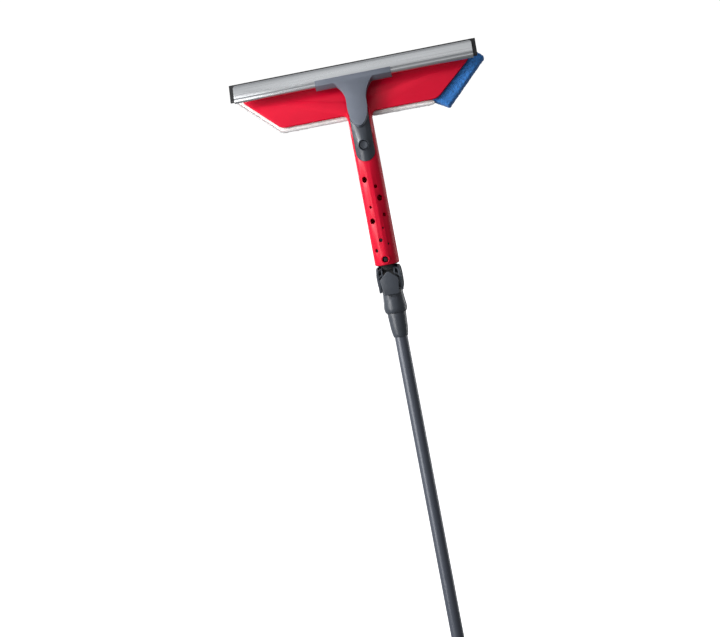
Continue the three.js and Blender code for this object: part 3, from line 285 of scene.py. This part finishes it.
def red_plastic():
    look = Look("red_plastic", linear(214, 4, 46), 0.4)
    look.tint(look.noise(22, 4), 0.95, 1.04)
    look.vary_roughness(look.noise(160, 5), 0.05)
    look.set(Specular_IOR_Level=0.25)
    look.bump(look.noise(300, 2), 6 * UM)
    look.bump(look.noise(2600, 2), 3 * UM)
    return look.material


def grey_plastic():
    look = Look("grey_plastic", linear(103, 109, 121), 0.5)
    look.tint(look.noise(30, 4), 0.94, 1.05)
    look.vary_roughness(look.noise(220, 5), 0.06)
    look.bump(look.noise(2400, 3), 14 * UM)
    return look.material


def dark_plastic():
    look = Look("dark_plastic", linear(62, 67, 75), 0.34)
    look.tint(look.noise(35, 4), 0.92, 1.06)
    look.vary_roughness(look.noise(180, 5), 0.06)
    look.set(Specular_IOR_Level=0.7)
    look.bump(look.noise(1500, 3), 6 * UM)
    return look.material


def black_plastic():
    look = Look("black_plastic", linear(30, 31, 33), 0.45)
    look.tint(look.noise(40, 4), 0.85, 1.15)
    look.vary_roughness(look.noise(200, 5), 0.07)
    look.bump(look.noise(1800, 3), 10 * UM)
    return look.material


def black_rubber():
    look = Look("black_rubber", linear(26, 26, 28), 0.55)
    look.tint(look.noise(60, 5), 0.8, 1.3)
    look.vary_roughness(look.noise(90, 6), 0.09)
    look.bump(look.noise(900, 3, (0.2, 1, 1)), 40 * UM)
    return look.material


def grip_rubber():
    look = Look("grip_rubber", linear(33, 33, 36), 0.68)
    look.tint(look.noise(70, 5), 0.8, 1.25)
    look.vary_roughness(look.noise(300, 4), 0.08)
    look.bump(look.cells(1300), 80 * UM)
    return look.material


def aluminium():
    look = Look("aluminium", linear(208, 210, 212), 0.32, 1.0)
    drawn = (0.012, 1, 1)
    look.tint(look.noise(1100, 3, drawn), 0.93, 1.03)
    look.vary_roughness(look.noise(700, 4, drawn), 0.07)
    look.bump(look.noise(1500, 3, drawn), 12 * UM)
    return look.material


def steel():
    look = Look("steel", linear(178, 182, 188), 0.3, 1.0)
    look.tint(look.noise(150, 4), 0.88, 1.06)
    look.vary_roughness(look.noise(500, 4), 0.08)
    look.bump(look.noise(1300, 3), 10 * UM)
    return look.material


def pole_paint():
    look = Look("pole_paint", linear(74, 79, 90), 0.32)
    look.tint(look.noise(45, 4, (1, 1, 0.15)), 0.93, 1.06)
    look.vary_roughness(look.noise(120, 5, (1, 1, 0.2)), 0.06)
    look.bump(look.noise(650, 2), 5 * UM)
    look.set(Metallic=0.15, Specular_IOR_Level=0.85)
    return look.material


def white_microfibre():
    look = Look("white_microfibre", linear(244, 243, 240), 0.95)
    look.tint(look.noise(260, 4), 0.88, 1.04)
    look.bump(look.noise(1600, 3), 400 * UM, 0.7)
    look.set(Sheen_Weight=0.5, Sheen_Roughness=0.5)
    return look.material


def pad_binding():
    look = Look("pad_binding", linear(214, 212, 212), 0.9)
    look.tint(look.noise(420, 3), 0.9, 1.05)
    look.bump(look.cells(2600), 200 * UM)
    look.set(Sheen_Weight=0.3)
    return look.material


def blue_scourer():
    look = Look("blue_scourer", linear(44, 116, 190), 0.92)
    look.tint(look.noise(380, 5), 0.72, 1.18)
    look.bump(look.cells(950), 500 * UM, 0.8)
    look.set(Sheen_Weight=0.15)
    return look.material


def hook_tape():
    look = Look("hook_tape", linear(36, 37, 40), 0.85)
    look.tint(look.noise(500, 4), 0.7, 1.3)
    look.bump(look.cells(1600), 200 * UM)
    return look.material


MATERIALS = {make.__name__: make() for make in (
    red_plastic, grey_plastic, dark_plastic, black_plastic, black_rubber, grip_rubber, aluminium, steel,
    pole_paint, white_microfibre, pad_binding, blue_scourer, hook_tape)}

for node_name, node_object in frame["nodes"].items():
    if not node_object.material_slots:
        node_object.data.materials.append(None)
    for material_slot in node_object.material_slots:
        material_slot.material = MATERIALS[SLOT_OF[node_name]]


# ---------------------------------------------------------------- pieces
WELD = 0.02 * MM
SAME_PLACE = 0.01 * MM
FLAT_WITHIN = 1                         # degrees between facets that are joined into one
SHARP_EDGE = 35                         # degrees
TURNED_SHARP_EDGE = 25
SOFT_SHARP_EDGE = 70
BINDING_SHARP_EDGE = 60
SPRING_SHARP_EDGE = 50
BEVEL_SEGMENTS = 2


def finish_piece(piece, node):
    """The piece takes a CAD node's place, body and material."""
    piece.data.materials.clear()
    piece.data.materials.append(MATERIALS[SLOT_OF[node]])
    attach(piece, BODY_OF[node])
    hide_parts(node)


def new_object(name, mesh):
    piece = bpy.data.objects.new(name, mesh)
    bpy.context.collection.objects.link(piece)
    return piece


def shade_smooth(mesh, angle=SHARP_EDGE):
    """Smooth faces, with edges sharper than the angle in degrees kept sharp."""
    mesh.polygons.foreach_set("use_smooth", [True] * len(mesh.polygons))
    mesh.set_sharp_from_angle(angle=math.radians(angle))


def cad_bmesh(node):
    """The node's own mesh, welded, with flat facets joined."""
    shape = bmesh.new()
    shape.from_mesh(frame["nodes"][node].data)
    bmesh.ops.remove_doubles(shape, verts=shape.verts, dist=WELD)
    flat = math.radians(FLAT_WITHIN)
    bmesh.ops.dissolve_limit(shape, angle_limit=flat, verts=shape.verts, edges=shape.edges)
    return shape


def grid_faces(rings, sides):
    """Quads between rings of points, where the last ring joins the first and each ring closes on itself."""
    faces = []
    for i in range(rings):
        here = i * sides
        onward = ((i + 1) % rings) * sides
        for k in range(sides):
            after = (k + 1) % sides
            faces.append((here + k, here + after, onward + after, onward + k))
    return faces


def face_outward(mesh, weld=0):
    """Turns the faces outward, after joining points closer together than weld."""
    shape = bmesh.new()
    shape.from_mesh(mesh)
    if weld:
        bmesh.ops.remove_doubles(shape, verts=shape.verts, dist=weld)
    bmesh.ops.recalc_face_normals(shape, faces=shape.faces)
    shape.to_mesh(mesh)
    shape.free()


def apply_modifiers(piece):
    graph = bpy.context.evaluated_depsgraph_get()
    mesh = bpy.data.meshes.new_from_object(piece.evaluated_get(graph))
    piece.modifiers.clear()
    piece.data = mesh


def rounded(piece, radius, sharp_edge):
    """Adds a bevel to edges sharper than sharp_edge, without applying it."""
    bevel = piece.modifiers.new("round", "BEVEL")
    bevel.width = radius
    bevel.segments = BEVEL_SEGMENTS
    bevel.limit_method = "ANGLE"
    bevel.angle_limit = math.radians(sharp_edge)
    return bevel


def refined(node, radius):
    """The node's shape with its sharp edges rounded."""
    shape = cad_bmesh(node)
    mesh = bpy.data.meshes.new(node + "_fine")
    shape.to_mesh(mesh)
    shape.free()
    piece = new_object(node + "_fine", mesh)
    bevel = rounded(piece, radius, SHARP_EDGE)
    bevel.use_clamp_overlap = True
    bevel.miter_outer = "MITER_ARC"
    apply_modifiers(piece)
    shade_smooth(piece.data)
    finish_piece(piece, node)


def turned_profile(node):
    """A round node's section beside the pole's axis as (radius, height) points, and whether it is a ring."""
    shape = cad_bmesh(node)
    spokes = [v for v in shape.verts if abs(v.co.y) < SAME_PLACE and v.co.x > -SAME_PLACE]
    start = max(spokes, key=lambda v: v.co.x)
    seen = {start}

    def walk():
        path = [start]
        while True:
            here = path[-1]
            left = [v for v in spokes if v not in seen]
            linked = [e.other_vert(here) for e in here.link_edges]
            level = [v for v in left if abs(v.co.z - here.co.z) < SAME_PLACE]
            ahead = [v for v in left if v in linked] or level
            if not ahead:
                return path
            path.append(min(ahead, key=lambda v: abs(v.co.x - here.co.x)))
            seen.add(path[-1])

    onward = walk()
    backward = walk()[1:]
    points = [(v.co.x, v.co.z) for v in backward[::-1] + onward]
    shape.free()
    ring = not backward
    if not ring:
        points = [(0, points[0][1])] + points + [(0, points[-1][1])]
    return points, ring


def turned_copy(node, sides, radius):
    """A round node's own profile, turned again about the pole's axis in finer steps."""
    points, ring = turned_profile(node)
    count = len(points)
    vertices = []
    for i in range(sides):
        turn = 2 * math.pi * i / sides
        vertices += [(r * math.cos(turn), r * math.sin(turn), z) for r, z in points]
    faces = grid_faces(sides, count)
    if not ring:
        faces = [face for i, face in enumerate(faces) if i % count < count - 1]
    mesh = bpy.data.meshes.new(node + "_fine")
    mesh.from_pydata(vertices, [], faces)
    face_outward(mesh, weld=SAME_PLACE)
    piece = new_object(node + "_fine", mesh)
    rounded(piece, radius, TURNED_SHARP_EDGE)
    apply_modifiers(piece)
    shade_smooth(piece.data)
    finish_piece(piece, node)


# ---------------------------------------------------------------- soft pieces on the leaning head
def head_axes():
    """Columns: along the blade, back from the plate, and up the plate."""
    mounts = {mount["name"]: mount for mount in frame["record"]["mounts"]}
    along = Vector((1, 0, 0))
    back = Vector(mounts["wash_face"]["axis"]).normalized()
    return Matrix((along, back, along.cross(back))).transposed()


HEAD_AXES = head_axes()
FACING = 0.99                           # least dot product of two directions that count as one


def head_object(name, vertices, faces):
    """A mesh object whose points are given in the head's own directions."""
    mesh = bpy.data.meshes.new(name)
    mesh.from_pydata([HEAD_AXES @ Vector(v) for v in vertices], [], faces)
    return new_object(name, mesh)


def front_face(node):
    """The corners and the normal of the front face of a flat CAD solid on the head."""
    shape = cad_bmesh(node)
    back = HEAD_AXES.col[1]
    facing = [f for f in shape.faces if f.normal.dot(back) < -FACING]
    face = max(facing, key=lambda f: f.calc_area())
    corners = [v.co.copy() for v in face.verts]
    normal = face.normal.copy()
    shape.free()
    return corners, normal


def depth_of(node):
    """How far forward and back a node reaches, in the head's own directions."""
    back = HEAD_AXES.col[1]
    depths = [back.dot(v.co) for v in frame["nodes"][node].data.vertices]
    return min(depths), max(depths)


def remeshed(node, voxel, inset, thinner):
    """A node's solid as even quads, a little smaller, in the head's own directions."""
    shape = cad_bmesh(node)
    front = depth_of(node)[0]
    for v in shape.verts:
        v.co = HEAD_AXES.transposed() @ v.co
    middle = sum((v.co for v in shape.verts), Vector()) / len(shape.verts)
    for v in shape.verts:
        away = Vector((v.co.x - middle.x, 0, v.co.z - middle.z))
        v.co -= away.normalized() * inset
        v.co.y = front + (v.co.y - front) * (1 - thinner)
    mesh = bpy.data.meshes.new(node + "_soft")
    shape.to_mesh(mesh)
    shape.free()
    piece = new_object(node + "_soft", mesh)
    remesh = piece.modifiers.new("even", "REMESH")
    remesh.mode = "VOXEL"
    remesh.voxel_size = voxel
    apply_modifiers(piece)
    return piece


HELD_DEPTH = 0.9 * MM                   # the front this deep stays flat on the plate
CLOTH_QUALITY = 4
CLOTH_MASS = 0.2
AIR_PRESSURE = 4
CLOTH_FRAMES = 20


def swell(piece, front, most):
    """Air pressure crowns the piece behind its flat front; no point moves further than most."""
    before = [v.co.copy() for v in piece.data.vertices]
    held = piece.vertex_groups.new(name="held")
    held.add([v.index for v in piece.data.vertices if v.co.y < front + HELD_DEPTH], 1.0, "REPLACE")
    cloth = piece.modifiers.new("air", "CLOTH")
    cloth.settings.quality = CLOTH_QUALITY
    cloth.settings.mass = CLOTH_MASS
    cloth.settings.use_pressure = True
    cloth.settings.uniform_pressure_force = AIR_PRESSURE
    cloth.settings.effector_weights.gravity = 0
    cloth.settings.vertex_group_mass = "held"
    cloth.collision_settings.use_collision = False
    cloth.point_cache.frame_end = CLOTH_FRAMES
    for step in range(1, CLOTH_FRAMES + 1):
        bpy.context.scene.frame_set(step)
    apply_modifiers(piece)
    for v, start in zip(piece.data.vertices, before):
        move = v.co - start
        if move.length > most:
            v.co = start + move.normalized() * most
    bpy.context.scene.frame_set(1)


def subdivide(piece):
    smooth = piece.modifiers.new("smooth", "SUBSURF")
    smooth.levels = 1
    smooth.render_levels = 1
    apply_modifiers(piece)


NUB_STEEPNESS = 1.6
NUB_MIDDLE = 0.5                        # nubs rise and sink about this share of their height
PILE_FULL_AFTER = 2 * MM                # the pile reaches its full height this far behind the plate
PILE_WANDER = 0.35
PILE_WANDER_LENGTH = 9 * MM


def nub(point, pitch):
    """From 0 between nubs to 1 at the top of one."""
    nearest = noise.voronoi(point / pitch)[0][0]
    return max(0.0, 1 - nearest * nearest * NUB_STEEPNESS)


def raise_pile(piece, front, pitch, height):
    """The piece's back and sides stand up in nubs."""
    mesh = piece.data
    normals = [n.vector.copy() for n in mesh.vertex_normals]
    for v, normal in zip(mesh.vertices, normals):
        share = min(1.0, max(0.0, (v.co.y - front) / PILE_FULL_AFTER))
        wander = PILE_WANDER * noise.noise(v.co / PILE_WANDER_LENGTH)
        v.co += normal * share * height * (nub(v.co, pitch) - NUB_MIDDLE + wander)


def to_head(piece):
    """Turns a soft piece from the head's own directions to the frame's."""
    piece.data.transform(HEAD_AXES.to_4x4())
    shade_smooth(piece.data, SOFT_SHARP_EDGE)


FIBRE_RINGS = ((0, 0, 1), (0.6, 0.2, 0.7))      # share of length outward and sideways, share of thickness
FIBRE_TIP_DRIFT = 0.7
FIBRE_SEED = 11
FIBRE_FROM = 1.2 * MM                   # fibres grow this far behind the plate and further
FIBRE_SUNK = 0.2 * MM
FIBRE_LENGTHS = (0.6, 1.2)


def tuft(vertices, faces, root, out, side, length, thick):
    """A short fibre, thick at its root, that bends sideways to a point."""
    across = out.cross(side).normalized()
    start = len(vertices)
    for lift, drift, width in FIBRE_RINGS:
        middle = root + out * length * lift + side * length * drift
        for turn in range(3):
            angle = 2 * math.pi * turn / 3
            vertices.append(middle + (side * math.cos(angle) + across * math.sin(angle)) * thick * width)
    vertices.append(root + out * length + side * length * FIBRE_TIP_DRIFT)
    for turn in range(3):
        after = (turn + 1) % 3
        faces.append((start + turn, start + after, start + 3 + after, start + 3 + turn))
        faces.append((start + 3 + turn, start + 3 + after, start + 6))
    faces.append((start + 2, start + 1, start))


def pile_fibres(node, base, front, count, length, thick):
    """Loose fibres scattered over the back and sides of a soft piece."""
    chance = random.Random(FIBRE_SEED)
    back_faces = [f for f in base.data.polygons if f.center.y > front + FIBRE_FROM]
    vertices = []
    faces = []
    for f in chance.sample(back_faces, min(count, len(back_faces))):
        out = f.normal.copy()
        side = out.orthogonal().normalized()
        side.rotate(Matrix.Rotation(chance.uniform(0, 2 * math.pi), 3, out))
        root = f.center - out * FIBRE_SUNK
        tuft(vertices, faces, root, out, side, length * chance.uniform(*FIBRE_LENGTHS), thick)
    return head_object(node + "_fibres", vertices, faces)


def tube_round(name, points, radius, sides):
    """A closed tube along a ring of points in the head's own directions."""
    count = len(points)
    vertices = []
    depth = Vector((0, 1, 0))
    for i, here in enumerate(points):
        onward = (points[(i + 1) % count] - points[i - 1]).normalized()
        outward = onward.cross(depth).normalized()
        for k in range(sides):
            angle = 2 * math.pi * k / sides
            vertices.append(here + (outward * math.cos(angle) + depth * math.sin(angle)) * radius)
    piece = head_object(name, vertices, grid_faces(count, sides))
    face_outward(piece.data)
    shade_smooth(piece.data, BINDING_SHARP_EDGE)
    return piece


def resampled(points, step):
    """A closed outline with points about a step apart."""
    result = []
    for i, here in enumerate(points):
        onward = points[(i + 1) % len(points)] - here
        parts = max(1, round(onward.length / step))
        result += [here + onward * k / parts for k in range(parts)]
    return result


PAD_VOXEL = 2.3 * MM
PAD_INSET = 0.9 * MM
PAD_THINNER = 0.3
PAD_SWELL = 2.2 * MM
PAD_NUB_PITCH = 3.0 * MM
PAD_NUB_HEIGHT = 1.5 * MM
PAD_FIBRES = 5200
PAD_FIBRE_LENGTH = 1.7 * MM
PAD_FIBRE_THICK = 0.16 * MM
BINDING_RADIUS = 1.2 * MM
BINDING_BEHIND_PLATE = 1.5 * MM
BINDING_STEP = 3 * MM
BINDING_SIDES = 10


def microfibre_pad():
    node = "microfibre_pad"
    front = depth_of(node)[0]
    pad = remeshed(node, PAD_VOXEL, PAD_INSET, PAD_THINNER)
    swell(pad, front, PAD_SWELL)
    subdivide(pad)
    raise_pile(pad, front, PAD_NUB_PITCH, PAD_NUB_HEIGHT)
    fibres = pile_fibres(node, pad, front, PAD_FIBRES, PAD_FIBRE_LENGTH, PAD_FIBRE_THICK)
    to_head(pad)
    finish_piece(pad, node)
    finish_piece(fibres, node)
    outline = [HEAD_AXES.transposed() @ corner for corner in front_face(node)[0]]
    depth = front + BINDING_BEHIND_PLATE
    ring = [Vector((p.x, depth, p.z)) for p in resampled(outline, BINDING_STEP)]
    binding = tube_round(node + "_binding", ring, BINDING_RADIUS, BINDING_SIDES)
    finish_piece(binding, node)
    binding.data.materials.clear()
    binding.data.materials.append(MATERIALS["pad_binding"])


STRIP_VOXEL = 1.5 * MM
STRIP_INSET = 0.5 * MM
STRIP_THINNER = 0.06
PIT_PITCH = 2.1 * MM
PIT_DEPTH = 0.55 * MM
GRAIN_LENGTH = 0.9 * MM
GRAIN_DEPTH = 0.15 * MM


def scouring_strip():
    node = "scouring_strip"
    strip = remeshed(node, STRIP_VOXEL, STRIP_INSET, STRIP_THINNER)
    subdivide(strip)
    mesh = strip.data
    normals = [n.vector.copy() for n in mesh.vertex_normals]
    for v, normal in zip(mesh.vertices, normals):
        pit = nub(v.co, PIT_PITCH)
        grain = noise.noise(v.co / GRAIN_LENGTH)
        v.co -= normal * (PIT_DEPTH * pit + GRAIN_DEPTH * grain)
    to_head(strip)
    finish_piece(strip, node)


HOOK_PITCH = 2 * MM
HOOK_SIDES = 6
HOOK_RINGS = (                          # share of the tape's thickness, radius
    (0.5, 0.3 * MM), (0.8, 0.25 * MM), (0.85, 0.5 * MM), (1.0, 0.35 * MM))
TAPE_BASE_SHARE = 0.5


def add_hook(vertices, faces, root, first, second, outward):
    """A mushroom-headed hook; outward is as long as the tape is thick."""
    start = len(vertices)
    for lift, radius in HOOK_RINGS:
        for k in range(HOOK_SIDES):
            angle = 2 * math.pi * k / HOOK_SIDES
            spoke = first.normalized() * math.cos(angle) + second.normalized() * math.sin(angle)
            vertices.append(root + outward * lift + spoke * radius)
    top = start + (len(HOOK_RINGS) - 1) * HOOK_SIDES
    for level in range(start, top, HOOK_SIDES):
        for k in range(HOOK_SIDES):
            a = level + k
            b = level + (k + 1) % HOOK_SIDES
            faces.append((a, b, b + HOOK_SIDES, a + HOOK_SIDES))
    faces.append(tuple(range(top, top + HOOK_SIDES)))
    faces.append(tuple(range(start + HOOK_SIDES - 1, start - 1, -1)))


def hook_tape_piece(node):
    """A woven base with rows of mushroom-headed hooks."""
    corners, normal = front_face(node)
    front, rear = depth_of(node)
    outward = -normal * (rear - front)
    first = corners[1] - corners[0]
    second = corners[3] - corners[0]
    vertices = list(corners)
    vertices += [corner + outward * TAPE_BASE_SHARE for corner in corners]
    faces = [(0, 1, 2, 3), (7, 6, 5, 4)]
    faces += [(k, k + 4, (k + 1) % 4 + 4, (k + 1) % 4) for k in range(4)]
    columns = int(first.length / HOOK_PITCH)
    rows = int(second.length / HOOK_PITCH)
    for i in range(columns):
        for j in range(rows):
            root = corners[0] + first * (i + 0.5) / columns + second * (j + 0.5) / rows
            add_hook(vertices, faces, root, first, second, outward)
    mesh = bpy.data.meshes.new(node + "_hooks")
    mesh.from_pydata(vertices, [], faces)
    piece = new_object(node + "_hooks", mesh)
    face_outward(mesh)
    shade_smooth(mesh)
    finish_piece(piece, node)


microfibre_pad()
scouring_strip()
for tape in ("hook_tape_left", "hook_tape_right", "hook_tape_scourer"):
    hook_tape_piece(tape)

# ---------------------------------------------------------------- hard pieces
TURNED = ("outer_tube", "inner_tube", "hand_grip", "pole_collar")
TURNED_SIDES = 96
TURNED_ROUNDING = 0.3 * MM
ROUNDED = {                             # radius in mm
    "end_cap": 0.5, "lock_collar": 0.4, "clamp_collet": 0.3, "joint_fork": 0.4,
    "tilt_lock_slider": 0.25, "joint_head": 0.4, "snap_button": 0.3, "handle_shell": 0.35,
    "washer_plate": 0.3, "squeegee_carrier": 0.4, "release_button": 0.25, "t_bracket": 0.7,
    "blade_rail": 0.12, "rubber_blade": 0.2,
}
for node_name, rounding in ROUNDED.items():
    refined(node_name, rounding * MM)
for node_name in TURNED:
    turned_copy(node_name, TURNED_SIDES, TURNED_ROUNDING)


# ---------------------------------------------------------------- springs and finish
def pressed_spring(node):
    """A copy of the spring's CAD mesh, shaded smooth, that takes the node's place."""
    mesh = frame["nodes"][node].data.copy()
    piece = new_object(node + "_fine", mesh)
    shade_smooth(mesh, SPRING_SHARP_EDGE)
    finish_piece(piece, node)
    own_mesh(piece)


pressed_spring("lock_spring")
pressed_spring("button_spring")
pressed_spring("snap_spring")
